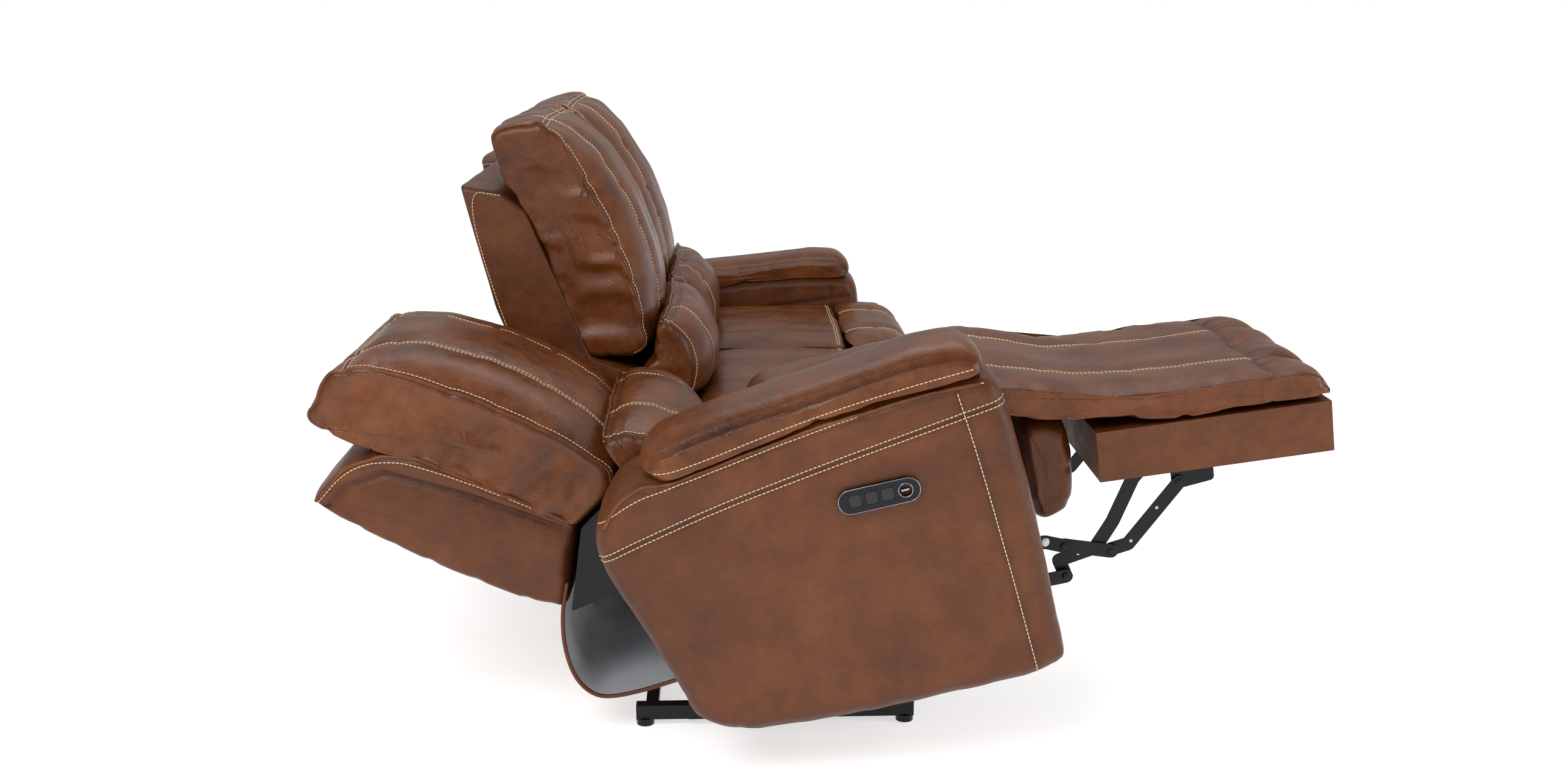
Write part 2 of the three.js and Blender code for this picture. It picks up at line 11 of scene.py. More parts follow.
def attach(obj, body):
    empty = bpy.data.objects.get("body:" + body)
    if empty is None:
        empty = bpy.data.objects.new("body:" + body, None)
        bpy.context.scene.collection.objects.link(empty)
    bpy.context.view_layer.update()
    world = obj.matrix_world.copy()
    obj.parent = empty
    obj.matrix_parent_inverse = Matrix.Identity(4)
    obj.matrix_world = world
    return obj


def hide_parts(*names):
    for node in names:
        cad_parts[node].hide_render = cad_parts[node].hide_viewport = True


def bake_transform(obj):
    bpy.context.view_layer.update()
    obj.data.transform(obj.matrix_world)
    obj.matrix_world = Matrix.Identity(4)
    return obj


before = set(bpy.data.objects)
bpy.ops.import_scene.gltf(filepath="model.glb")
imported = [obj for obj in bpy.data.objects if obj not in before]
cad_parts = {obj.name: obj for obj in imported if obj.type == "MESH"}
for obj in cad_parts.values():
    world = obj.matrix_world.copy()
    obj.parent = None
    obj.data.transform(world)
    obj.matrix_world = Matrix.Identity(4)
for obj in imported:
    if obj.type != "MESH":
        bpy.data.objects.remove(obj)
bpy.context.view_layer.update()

# ------------------------------------------------------------------ sizes, in millimetres
# Profiles are X and height above the top of a closed seat, as in the CAD part.
SEAT_TOP = 510
PLACES = {"near": -570, "middle": 0, "far": 570}
ARM_SIDE = {"near": -1, "far": 1}
TILT_POLE, BACK_PIVOT, BOARD_POLE = (-425, 522), (-100, -225), (475, -6)
FLAP_PIVOT = (237, -110)
TILT, BACK, BOARD = 12.6, 31.2, 85.0
PANEL_SEAM = 129  # the double seams stand this far from the middle of a place
HALF = 279  # from the middle of a place to the side of its cushions
FLAP_HALF, SKIRT_HALF = 236, 272
ARM_FRONT, ARM_CLEARANCE = 284, 55  # the arm's front line in X, and its underside above the floor
ARM_INNER, ARM_OUTER, ARM_PAD_SHIFT = 858, 1069, 4
STITCH_PITCH, STITCH_LENGTH, THREAD_RADIUS = 0.0078, 0.0056, 0.0010  # metres


def turned(points, pivot, degrees):
    """Points turned in the X-Z plane, from +X toward +Z, about a pivot given as a profile point."""
    a = math.radians(degrees)
    x, z = points[..., 0] - pivot[0], points[..., 2] - pivot[1] - SEAT_TOP
    out = points.copy()
    out[..., 0] = pivot[0] + x * math.cos(a) - z * math.sin(a)
    out[..., 2] = pivot[1] + SEAT_TOP + x * math.sin(a) + z * math.cos(a)
    return out


def at_rest(points, place, part):
    """Takes points of the closed recliner to where that part stands at rest."""
    if place == "near":
        if part == "back":
            points = turned(points, BACK_PIVOT, BACK)
        if part == "footrest":
            points = turned(points, BOARD_POLE, BOARD)
        points = turned(points, TILT_POLE, TILT)
    elif place == "far" and part == "flap":  # drawn hanging open, folded in while closed
        points = turned(points, FLAP_PIVOT, -90)
    return points


def body_name(place, part):
    return "root" if place == "middle" else f"{place}_{part}"


# ------------------------------------------------------------------ smooth random fields
def field(s, t, seed):
    """Smooth noise from -1 to 1 over two coordinates, one lump to each unit."""
    table = np.random.RandomState(seed).uniform(-1, 1, (64, 64))
    s, t = np.broadcast_arrays(np.asarray(s, float), np.asarray(t, float))
    i, j = np.floor(s).astype(int), np.floor(t).astype(int)
    u, v = s - i, t - j
    u, v = u * u * (3 - 2 * u), v * v * (3 - 2 * v)
    pick = lambda a, b: table[a % 64, b % 64]
    low = pick(i, j) * (1 - u) + pick(i + 1, j) * u
    high = pick(i, j + 1) * (1 - u) + pick(i + 1, j + 1) * u
    return low * (1 - v) + high * v


# ------------------------------------------------------------------ padded shapes
def closed_profile(points, counts, soften):
    """Evenly filled, softened closed outline with a set number of points on each stretch."""
    points = np.array(points, float)
    ahead = np.roll(points, -1, axis=0)
    line = np.concatenate([
        p + (q - p) * np.linspace(0, 1, n, endpoint=False)[:, None]
        for p, q, n in zip(points, ahead, counts)])
    for _ in range(soften):
        line = (np.roll(line, 1, 0) + 2 * line + np.roll(line, -1, 0)) / 4
    return line


def inset_outline(line, distance):
    """The outline moved inwards by a distance, either way round."""
    ahead, behind = np.roll(line, -2, axis=0), np.roll(line, 2, axis=0)
    d = ahead - behind
    length = np.maximum(np.hypot(d[:, 0], d[:, 1]), 1e-6)
    area = np.sum(line[:, 0] * np.roll(line[:, 1], -1) - np.roll(line[:, 0], -1) * line[:, 1])
    sign = 1 if area > 0 else -1
    return line + sign * distance * np.stack([-d[:, 1], d[:, 0]], 1) / length[:, None]


class Padded:
    """A stuffed piece: an outline in X-Z drawn along Y that swells from seamed rims to a full middle.

    crown is the outline in the middle and rim the outline at the side seams, point for point.
    """

    def __init__(self, name, place, part, crown, y0, y1, rim=None, rim_inset=16, fullness=2.6,
                 ease=0.8, bulge=10, seams=(), cross=(), seam_depth=4, puff=3, pucker=2.2,
                 folds=2.5, side_folds=2.5, step=6.5, soften=9, seed=1, grooves=()):
        self.name, self.place, self.part = name, place, part
        crown = np.array(crown, float)
        ahead = np.roll(crown, -1, axis=0)
        counts = np.maximum(2, np.round(np.hypot(*(ahead - crown).T) / step)).astype(int)
        mid = closed_profile(crown, counts, soften)
        edge = (inset_outline(mid, rim_inset) if rim is None
                else closed_profile(rim, counts, soften))
        n = len(mid)
        rows = int(round((y1 - y0 - 2 * bulge) / step)) + 1
        y = np.linspace(y0 + bulge, y1 - bulge, rows)
        v = (y - (y0 + y1) / 2) / ((y1 - y0) / 2 - bulge)
        swell = (1 - np.minimum(1, np.abs(v)) ** fullness) ** ease
        grid = np.empty((rows, n, 3))
        outline = edge[None] + (mid - edge)[None] * swell[:, None, None]
        grid[..., 0], grid[..., 2] = outline[..., 0], outline[..., 1] + SEAT_TOP
        grid[..., 1] = y[:, None]
        arc = np.concatenate([[0], np.cumsum(np.hypot(*np.diff(mid, axis=0).T))])
        self.grid, self.y, self.mid = grid, y, mid
        centre_y = (y0 + y1) / 2
        # how far every point is from the nearest seam, and where it is along it
        to_rim = np.minimum(y - y[0], y[-1] - y)[:, None] + 0 * arc[None]
        to_seam = np.full((rows, n), 1e3)
        for seam in seams:
            to_seam = np.minimum(to_seam, np.abs(y - centre_y - seam)[:, None])
        to_cross = np.full((rows, n), 1e3)
        for point in cross:
            k = int(np.argmin(np.hypot(*(mid - np.array(point)).T)))
            gap = np.abs(arc - arc[k])
            to_cross = np.minimum(to_cross, np.minimum(gap, arc[-1] - gap)[None])
        nearest = np.minimum(np.minimum(to_seam, to_cross), to_rim)
        lift = puff * (1 - np.exp(-(nearest / 34) ** 2))
        lift -= seam_depth * (np.exp(-(to_seam / 6) ** 2) + np.exp(-(to_cross / 7) ** 2))
        along, across = arc[None] + 0 * y[:, None], y[:, None] + 0 * arc[None]
        crease = lambda s, far, sd: np.minimum(0, field(s, far, sd)) * 1.4 + 0.35
        lift += pucker * crease(along / 19 + 0.3 * field(across / 30, along / 90, seed + 7),
                                to_seam / 80, seed) * np.exp(-to_seam / 26)
        lift += 1.7 * pucker * crease(along / 24, across / 90, seed + 3) * np.exp(-to_rim / 34)
        lift += pucker * crease(across / 17, along / 80, seed + 4) * np.exp(-to_cross / 24)
        lift += folds * field(along / 130, across / 95, seed + 5)
        lift += 0.25 * folds * field(along / 47 + across / 160, across / 60, seed + 6)
        normal = self.normals_of(grid)
        self.grid = grid + normal * lift[..., None]
        # painted shade, strongest in the gutters of the seams and crosses and along the side rims
        self.seam_shade = np.exp(-(nearest / 7) ** 2)
        self.side_caps(bulge, side_folds, seed, step, grooves, y0, y1)

    @staticmethod
    def normals_of(grid):
        du = np.roll(grid, -1, axis=1) - np.roll(grid, 1, axis=1)
        dv = np.gradient(grid, axis=0)
        n = np.cross(du, dv)
        n /= np.maximum(np.linalg.norm(n, axis=2, keepdims=True), 1e-9)
        centre = grid.mean(axis=1, keepdims=True)
        if np.sum((grid - centre) * n) < 0:
            n = -n
        return n

    def side_caps(self, bulge, side_folds, seed, step, grooves, y0, y1):
        """Closes both sides with shallow domes, creased and grooved, in rings toward the middle."""
        rows, n, _ = self.grid.shape
        verts = [self.grid.reshape(-1, 3)]
        shade_marks = [self.seam_shade.reshape(-1)]
        faces = []
        for r in range(rows - 1):
            a = r * n + np.arange(n)
            b = r * n + (np.arange(n) + 1) % n
            faces.append(np.stack([a, b, b + n, a + n], 1))
        start = rows * n
        for end, sign, row in ((0, -1, 0), (1, 1, rows - 1)):
            ring0 = self.grid[row]
            centre = ring0.mean(axis=0)
            reach = np.hypot(ring0[:, 0] - centre[0], ring0[:, 2] - centre[2])
            count = max(5, int(round(reach.mean() / (step * 1.15))))
            before = row * n + np.arange(n)
            level = ring0[:, 1].mean()
            for k in range(1, count):
                s = 1 - k / count
                ring = centre + (ring0 - centre) * s
                inward = reach * (1 - s)
                dome = bulge * np.minimum(1, np.sqrt(np.clip(1 - (1 - inward / (2.2 * bulge)) ** 2,
                                                              0, 1))) if bulge > 0 else 0 * reach
                dome = np.where(inward > 2.2 * bulge, bulge, dome)
                ripple = side_folds * field(ring[:, 2] / 34 + 0.4 * field(
                    ring[:, 0] / 60, ring[:, 2] / 60, seed + 9), ring[:, 0] / 120, seed + 8 + end)
                fade = np.minimum(1, inward / 25) * np.minimum(1, s * 4)
                # painted shade where the cap meets the side rim
                shade_mark = np.exp(-(inward / 7) ** 2)
                depth = dome + (ripple - side_folds) * fade
                for path, width, deep in grooves:
                    d = distance_to_path(ring[:, [0, 2]], path)
                    depth = depth - deep * np.exp(-(d / width) ** 2)
                    # painted shade along each groove
                    shade_mark = np.maximum(shade_mark, np.exp(-(d / 7) ** 2))
                ring[:, 1] = level + (ring0[:, 1] - level) * np.exp(-inward / 16) + sign * depth
                ring[:, 1] = np.clip(ring[:, 1], y0, y1)
                verts.append(ring)
                shade_marks.append(shade_mark)
                now = start + np.arange(n)
                quad = [before, np.roll(before, -1), np.roll(now, -1), now]
                faces.append(np.stack(quad if sign > 0 else quad[::-1], 1))
                before, start = now, start + n
            verts.append(ring.mean(axis=0)[None])
            shade_marks.append(np.zeros(1))
            hub = np.full(n, start)
            start += 1
            tri = [before, np.roll(before, -1), hub, hub]
            faces.append(np.stack(tri if sign > 0 else tri[::-1], 1))
        self.verts, self.shade_marks = np.concatenate(verts), np.concatenate(shade_marks)
        self.faces = np.concatenate(faces)

    def build(self, material, replaces=(), blend=None):
        points = at_rest(self.verts, self.place, self.part) / 1000
        faces = [tuple(dict.fromkeys(f)) for f in self.faces.tolist()]
        obj = mesh_object(self.name, points, faces, material, shade_marks=self.shade_marks)
        recalculate_outward(obj)
        self.surface = BVHTree.FromPolygons([Vector(p) for p in self.verts.tolist()], faces)
        if blend is None:
            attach(obj, body_name(self.place, self.part))
        else:
            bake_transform(obj)
        if replaces:
            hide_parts(*replaces)

    # lines on the finished surface, in the closed recliner's millimetres
    def along(self, y, start, end, lift=0.9):
        """The line at one Y, from the profile point start to end, the way round the profile runs."""
        k = int(np.clip(np.searchsorted(self.y, y), 1, len(self.y) - 1))
        f = (y - self.y[k - 1]) / (self.y[k] - self.y[k - 1])
        normals = self.normals_of(self.grid)
        line = (self.grid + lift * normals)
        line = line[k - 1] * (1 - f) + line[k] * f
        a, b = (int(np.argmin(np.hypot(*(self.mid - np.array(p)).T))) for p in (start, end))
        index = np.arange(a, b + 1) if b >= a else np.arange(a, b + len(self.mid) + 1)
        return line[index % len(self.mid)]

    def across(self, point, y0, y1, shift=0, lift=0.9):
        """The line along Y at a profile point, moved on by a distance along the profile."""
        d = np.hypot(*np.diff(self.mid, axis=0).T)
        arc = np.concatenate([[0], np.cumsum(d)])
        k = int(np.argmin(np.hypot(*(self.mid - np.array(point)).T)))
        k = int(np.argmin(np.abs(arc - (arc[k] + shift))))
        line = (self.grid + lift * self.normals_of(self.grid))[:, k]
        return line[(self.y >= y0) & (self.y <= y1)]

    def on_side(self, path, side, lift=0.9):
        """A profile path laid on the side of the piece, from outside it."""
        out = []
        for x, z in fill_path(path, 6):
            hit = self.surface.ray_cast(Vector((x, side * 1500, z + SEAT_TOP)), Vector((0, -side, 0)))
            if hit[0] is not None:
                out.append((x, hit[0].y + side * lift, z + SEAT_TOP))
        return np.array(out)


def distance_to_path(points, path):
    """How far points of the X-Z plane lie from a profile path."""
    path = np.array(path, float) + np.array([0, SEAT_TOP])
    best = np.full(len(points), 1e6)
    for a, b in zip(path[:-1], path[1:]):
        t = np.clip(((points - a) @ (b - a)) / ((b - a) @ (b - a)), 0, 1)
        best = np.minimum(best, np.hypot(*(points - a - t[:, None] * (b - a)).T))
    return best


def fill_path(path, step):
    """A profile path with its corners rounded, filled with points at an even step."""
    path = np.array(path, float)
    for _ in range(3):
        cut = [path[0]]
        for a, b in zip(path[:-1], path[1:]):
            cut += [a + (b - a) * 0.25, a + (b - a) * 0.75]
        path = np.array(cut + [path[-1]])
    gaps = np.hypot(*np.diff(path, axis=0).T)
    arc = np.concatenate([[0], np.cumsum(gaps)])
    s = np.linspace(0, arc[-1], max(2, int(arc[-1] / step)))
    return np.stack([np.interp(s, arc, path[:, 0]), np.interp(s, arc, path[:, 1])], 1)


def mesh_object(name, points, faces, material, shade_marks=None):
    mesh = bpy.data.meshes.new(name)
    mesh.from_pydata([tuple(p) for p in np.asarray(points, float).tolist()], [], faces)
    mesh.materials.append(material)
    mesh.shade_smooth()
    if shade_marks is not None:
        # how strong the painted shade is at each point, read by the leather as the attribute seam
        seam = mesh.attributes.new("seam", "FLOAT", "POINT")
        seam.data.foreach_set("value", np.asarray(shade_marks, np.float32))
    obj = bpy.data.objects.new(name, mesh)
    bpy.context.scene.collection.objects.link(obj)
    return obj


def recalculate_outward(obj):
    work = bmesh.new()
    work.from_mesh(obj.data)
    bmesh.ops.recalc_face_normals(work, faces=work.faces)
    work.to_mesh(obj.data)
    work.free()


# ------------------------------------------------------------------ materials
def linear(text):
    """sRGB hex to the linear colour a shader socket takes."""
    values = [int(text[i:i + 2], 16) / 255 for i in (0, 2, 4)]
    return tuple(v / 12.92 if v <= 0.04045 else ((v + 0.055) / 1.055) ** 2.4
                 for v in values) + (1.0,)


def add(tree, kind, settings=None, **inputs):
    """Adds a node. Inputs are values or sockets, by socket name with _ for a space, or by in0, in1."""
    node = tree.nodes.new(kind)
    for key, value in (settings or {}).items():
        setattr(node, key, value)
    for key, value in inputs.items():
        if key.startswith("in") and key[2:].isdigit():
            socket = node.inputs[int(key[2:])]
        else:
            socket = node.inputs[key.replace("_", " ")]
        if isinstance(value, bpy.types.NodeSocket):
            tree.links.new(value, socket)
        else:
            socket.default_value = value
    return node


def new_material(name):
    material = bpy.data.materials.new(name)
    material.use_nodes = True
    tree = material.node_tree
    tree.nodes.clear()
    return material, tree


def leather(name, dark, middle, light, rough=0.40, grain=1.0):
    """Semi-aniline cowhide, waxed: a mottled pull-up colour, a fine pebble grain about 1.5 mm
    across drawn at 3 mm so that it shows, hair-fine creases, and a soft sheen."""
    material, tree = new_material(name)
    where = add(tree, "ShaderNodeTexCoord").outputs["Object"]
    # clouds of colour 90 mm and 25 mm across
    clouds = add(tree, "ShaderNodeTexNoise", Vector=where, Scale=9.0, Detail=4.0, Roughness=0.6)
    small = add(tree, "ShaderNodeTexNoise", Vector=where, Scale=38.0, Detail=5.0, Roughness=0.65)
    both = add(tree, "ShaderNodeMix", {"data_type": "FLOAT"}, in0=0.38,
               in2=clouds.outputs["Fac"], in3=small.outputs["Fac"])
    colour = add(tree, "ShaderNodeValToRGB", Fac=both.outputs[0])
    stops = colour.color_ramp.elements
    stops.new(0.5)
    for stop, at, tone in zip(stops, (0.27, 0.5, 0.74), (dark, middle, light)):
        stop.position, stop.color = at, linear(tone)
    # painted shade darkens the gutters of the seams, the side rims and the grooves, where the attribute
    # seam is high
    seam = add(tree, "ShaderNodeAttribute", {"attribute_name": "seam"})
    shade = add(tree, "ShaderNodeMath", {"operation": "MULTIPLY"}, in0=seam.outputs["Fac"], in1=0.42)
    colour_with_painted_shade = add(tree, "ShaderNodeMix", {"data_type": "RGBA", "blend_type": "MULTIPLY"},
                 in0=shade.outputs[0], in6=colour.outputs["Color"], in7=linear("5c4436"))
    # pebble grain 3 mm across
    pebble = add(tree, "ShaderNodeTexVoronoi", {"feature": "SMOOTH_F1"}, Vector=where, Scale=330.0,
                 Smoothness=0.6)
    fine = add(tree, "ShaderNodeTexNoise", Vector=where, Scale=700.0, Detail=2.0)
    creases = add(tree, "ShaderNodeTexVoronoi", {"feature": "DISTANCE_TO_EDGE"}, Vector=add(
        tree, "ShaderNodeVectorMath", {"operation": "ADD"}, in0=where, in1=add(
            tree, "ShaderNodeVectorMath", {"operation": "SCALE"}, in0=add(
                tree, "ShaderNodeTexNoise", Vector=where, Scale=30.0, Detail=3.0).outputs["Color"],
            Scale=0.03).outputs[0]).outputs[0], Scale=36.0)
    thin = add(tree, "ShaderNodeMapRange", in0=creases.outputs["Distance"], in1=0.0, in2=0.05,
               in3=0.0, in4=1.0)
    height = add(tree, "ShaderNodeMath", {"operation": "MULTIPLY_ADD"}, in0=fine.outputs["Fac"],
                 in1=0.5, in2=pebble.outputs["Distance"])
    height = add(tree, "ShaderNodeMath", {"operation": "MULTIPLY_ADD"}, in0=thin.outputs[0],
                 in1=0.35, in2=height.outputs[0])
    bump = add(tree, "ShaderNodeBump", Height=height.outputs[0], Strength=0.32 * grain, Distance=0.0012)
    waves = add(tree, "ShaderNodeTexNoise", Vector=where, Scale=24.0, Detail=3.0, Roughness=0.5)
    bump2 = add(tree, "ShaderNodeBump", Height=waves.outputs["Fac"], Strength=0.16, Distance=0.006,
                Normal=bump.outputs[0])
    roughness = add(tree, "ShaderNodeMapRange", in0=small.outputs["Fac"], in1=0.3, in2=0.7,
                    in3=rough - 0.06, in4=rough + 0.1)
    surface = add(tree, "ShaderNodeBsdfPrincipled", Base_Color=colour_with_painted_shade.outputs[2],
                  Roughness=roughness.outputs[0], IOR=1.5, Normal=bump2.outputs[0],
                  Specular_IOR_Level=0.36, Coat_Weight=0.05, Coat_Roughness=0.24)
    add(tree, "ShaderNodeOutputMaterial", Surface=surface.outputs[0])
    return material


def coated(name, colour, rough, metallic=0.0, speckle=900.0, strength=0.15, depth=0.0003, vary=0.06):
    """Plated, moulded or powder-coated: one colour with a fine even texture."""
    material, tree = new_material(name)
    where = add(tree, "ShaderNodeTexCoord").outputs["Object"]
    noise = add(tree, "ShaderNodeTexNoise", Vector=where, Scale=speckle, Detail=2.0)
    broad = add(tree, "ShaderNodeTexNoise", Vector=where, Scale=14.0, Detail=3.0)
    bump = add(tree, "ShaderNodeBump", Height=noise.outputs["Fac"], Strength=strength, Distance=depth)
    roughness = add(tree, "ShaderNodeMapRange", in0=broad.outputs["Fac"], in1=0.3, in2=0.7,
                    in3=rough - vary, in4=rough + vary)
    surface = add(tree, "ShaderNodeBsdfPrincipled", Base_Color=linear(colour), Metallic=metallic,
                  Roughness=roughness.outputs[0], Normal=bump.outputs[0])
    add(tree, "ShaderNodeOutputMaterial", Surface=surface.outputs[0])
    return material


def woven(name, colour, thread_mm, strength=0.4):
    """Plain-weave cloth: crossed threads, matt and slightly uneven."""
    material, tree = new_material(name)
    where = add(tree, "ShaderNodeTexCoord").outputs["Object"]
    # at scale 1 the bands repeat every 2 pi / 20 metres, and a repeat holds two threads
    scale = 2 * math.pi / (thread_mm * 2) * 1000 / 20
    one = add(tree, "ShaderNodeTexWave", {"bands_direction": "X"}, Vector=where, Scale=scale)
    two = add(tree, "ShaderNodeTexWave", {"bands_direction": "Y"}, Vector=where, Scale=scale)
    both = add(tree, "ShaderNodeMath", {"operation": "ADD"}, in0=one.outputs["Fac"], in1=two.outputs["Fac"])
    bump = add(tree, "ShaderNodeBump", Height=both.outputs[0], Strength=strength, Distance=0.0004)
    cloud = add(tree, "ShaderNodeTexNoise", Vector=where, Scale=9.0, Detail=4.0)
    base = linear(colour)
    tone = add(tree, "ShaderNodeValToRGB", Fac=cloud.outputs["Fac"])
    shaded, clean = tone.color_ramp.elements
    shaded.position, shaded.color = 0.3, tuple(c * 0.82 for c in base[:3]) + (1,)
    clean.position, clean.color = 0.7, base
    surface = add(tree, "ShaderNodeBsdfPrincipled", Base_Color=tone.outputs["Color"], Roughness=0.88,
                  Normal=bump.outputs[0])
    add(tree, "ShaderNodeOutputMaterial", Surface=surface.outputs[0])
    return material


# chestnut hide on the cushions, and a plainer, flatter cut of it on shells and arms
LEATHER = leather("semi_aniline_leather", "3c1b0a", "673512", "824a20", rough=0.33)
PANEL = leather("semi_aniline_leather_panel", "432008", "5e2f0d", "72411a", rough=0.44, grain=0.8)
# bonded polyester thread, tan
THREAD = coated("tan_polyester_thread", "dcbc94", 0.6, speckle=1500.0)
# black powder coat over pressed steel, and zinc-plated bolts and spots
STEEL = coated("black_powder_coat", "17181a", 0.38, metallic=0.55)
ZINC = coated("zinc_plated_rivet", "b9bcc0", 0.32, metallic=1.0)
# moulded ABS with a fine spark texture, on keys and motors
PLASTIC = coated("textured_black_abs", "1a1b1d", 0.5)
# dark chrome plating on the control panel, with brighter rims
DARK_CHROME = coated("dark_chrome", "2b2b2f", 0.13, metallic=1.0, strength=0.02, vary=0.02)
BRIGHT_CHROME = coated("bright_chrome_rim", "94979d", 0.1, metallic=1.0, strength=0.02, vary=0.02)
# light grey polyester lining inside the skirt, and the black cloth under the seats
LINING = woven("grey_polyester_lining", "c3c7ce", 1.2)
DUST_CLOTH = woven("black_dust_cloth", "131313", 1.0)


# ------------------------------------------------------------------ stitching
def stitch_tree():
    """Geometry Nodes: one thread stitch at an even pitch along every line."""
    tree = bpy.data.node_groups.new("stitches", "GeometryNodeTree")
    sockets = tree.interface
    sockets.new_socket("Geometry", in_out="INPUT", socket_type="NodeSocketGeometry")
    for label, value in (("Pitch", STITCH_PITCH), ("Stitch length", STITCH_LENGTH),
                         ("Thread", THREAD_RADIUS)):
        sockets.new_socket(label, in_out="INPUT", socket_type="NodeSocketFloat").default_value = value
    sockets.new_socket("Geometry", in_out="OUTPUT", socket_type="NodeSocketGeometry")
    source = add(tree, "NodeGroupInput").outputs
    curve = add(tree, "GeometryNodeMeshToCurve", Mesh=source["Geometry"])
    points = add(tree, "GeometryNodeCurveToPoints", {"mode": "LENGTH"}, Curve=curve.outputs[0],
                 Length=source["Pitch"])
    cylinder = add(tree, "GeometryNodeMeshCylinder", Vertices=6, Radius=source["Thread"],
                   Depth=source["Stitch length"])
    line = add(tree, "GeometryNodeInstanceOnPoints", Points=points.outputs["Points"],
               Instance=cylinder.outputs["Mesh"], Rotation=add(
                   tree, "FunctionNodeAlignRotationToVector", {"axis": "Z"},
                   Vector=points.outputs["Tangent"]).outputs[0])
    real = add(tree, "GeometryNodeRealizeInstances", Geometry=line.outputs[0])
    painted = add(tree, "GeometryNodeSetMaterial", Geometry=real.outputs[0], Material=THREAD)
    add(tree, "NodeGroupOutput", Geometry=painted.outputs[0])
    return tree


STITCHES = stitch_tree()


def bake(obj):
    """Turns what the modifiers give into a plain mesh and drops them."""
    graph = bpy.context.evaluated_depsgraph_get()
    made = bpy.data.meshes.new_from_object(obj.evaluated_get(graph))
    obj.modifiers.clear()
    obj.data = made


def sew(name, place, part, lines, blend=None):
    """Rows of stitches along lines that lie on the leather."""
    points, edges = [], []
    for line in lines:
        if len(line) < 2:
            continue
        base = len(points)
        points += (at_rest(np.asarray(line), place, part) / 1000).tolist()
        edges += [(base + i, base + i + 1) for i in range(len(line) - 1)]
    mesh = bpy.data.meshes.new(name)
    mesh.from_pydata(points, edges, [])
    obj = bpy.data.objects.new(name, mesh)
    bpy.context.scene.collection.objects.link(obj)
    modifier = obj.modifiers.new("stitches", "NODES")
    modifier.node_group = STITCHES
    for item in STITCHES.interface.items_tree:
        if item.item_type == "SOCKET" and item.in_out == "INPUT" and item.name == "Pitch":
            modifier[item.identifier] = STITCH_PITCH
    bake(obj)
    if blend is None:
        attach(obj, body_name(place, part))
    else:
        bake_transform(obj)


def piping(name, place, part, lines, radius=4.0, material=None, blend=None):
    """A round corded edge along lines."""
    curve = bpy.data.curves.new(name, "CURVE")
    curve.dimensions = "3D"
    curve.bevel_depth = radius / 1000
    curve.bevel_resolution = 3
    curve.use_fill_caps = True
    for line in lines:
        points = at_rest(np.asarray(line), place, part) / 1000
        spline = curve.splines.new("POLY")
        spline.points.add(len(points) - 1)
        spline.points.foreach_set("co", np.c_[points, np.ones(len(points))].ravel())
    obj = bpy.data.objects.new(name, curve)
    bpy.context.scene.collection.objects.link(obj)
    graph = bpy.context.evaluated_depsgraph_get()
    mesh = bpy.data.meshes.new_from_object(obj.evaluated_get(graph))
    bpy.data.objects.remove(obj)
    solid = bpy.data.objects.new(name, mesh)
    bpy.context.scene.collection.objects.link(solid)
    mesh.materials.clear()
    mesh.materials.append(material or LEATHER)
    mesh.shade_smooth()
    if blend is None:
        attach(solid, body_name(place, part))
    else:
        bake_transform(solid)


def pair(make, gap=4.2):
    """Two lines, one at each side of a seam."""
    return [make(-gap), make(gap)]


# ------------------------------------------------------------------ backs
HEAD_CROWN = [
    (-380, 98), (-262, 98), (-234, 132), (-230, 220), (-247, 300), (-290, 418), (-356, 528),
    (-423, 582), (-494, 600), (-576, 578), (-570, 494), (-545, 446), (-498, 396)]
HEAD_RIM = [
    (-384, 98), (-286, 98), (-257, 120), (-278, 222), (-298, 284), (-335, 382), (-390, 490),
    (-432, 560), (-480, 601), (-574, 575), (-557, 505), (-534, 450), (-498, 392)]
LUMBAR_CROWN = [
    (-270, 6), (-128, 6), (-110, 30), (-108, 85), (-124, 130), (-160, 172), (-195, 190),
    (-232, 180), (-240, 92), (-272, 60)]
LUMBAR_RIM = [
    (-270, 10), (-176, 10), (-162, 32), (-160, 84), (-170, 122), (-196, 156), (-214, 170),
    (-232, 168), (-240, 92), (-270, 60)]
SHELL_SIDE = [
    (-505, -10), (-364, 100), (-480, 392), (-530, 448), (-596, 476), (-688, 468), (-672, 388),
    (-647, 302), (-607, 186), (-553, 64)]
MIDDLE_SHELL = [
    (-296, -440), (-276, -84), (-278, 60), (-376, 95), (-505, 412), (-561, 453), (-642, 468),
    (-578, 205), (-500, 0), (-450, -60), (-340, -440)]


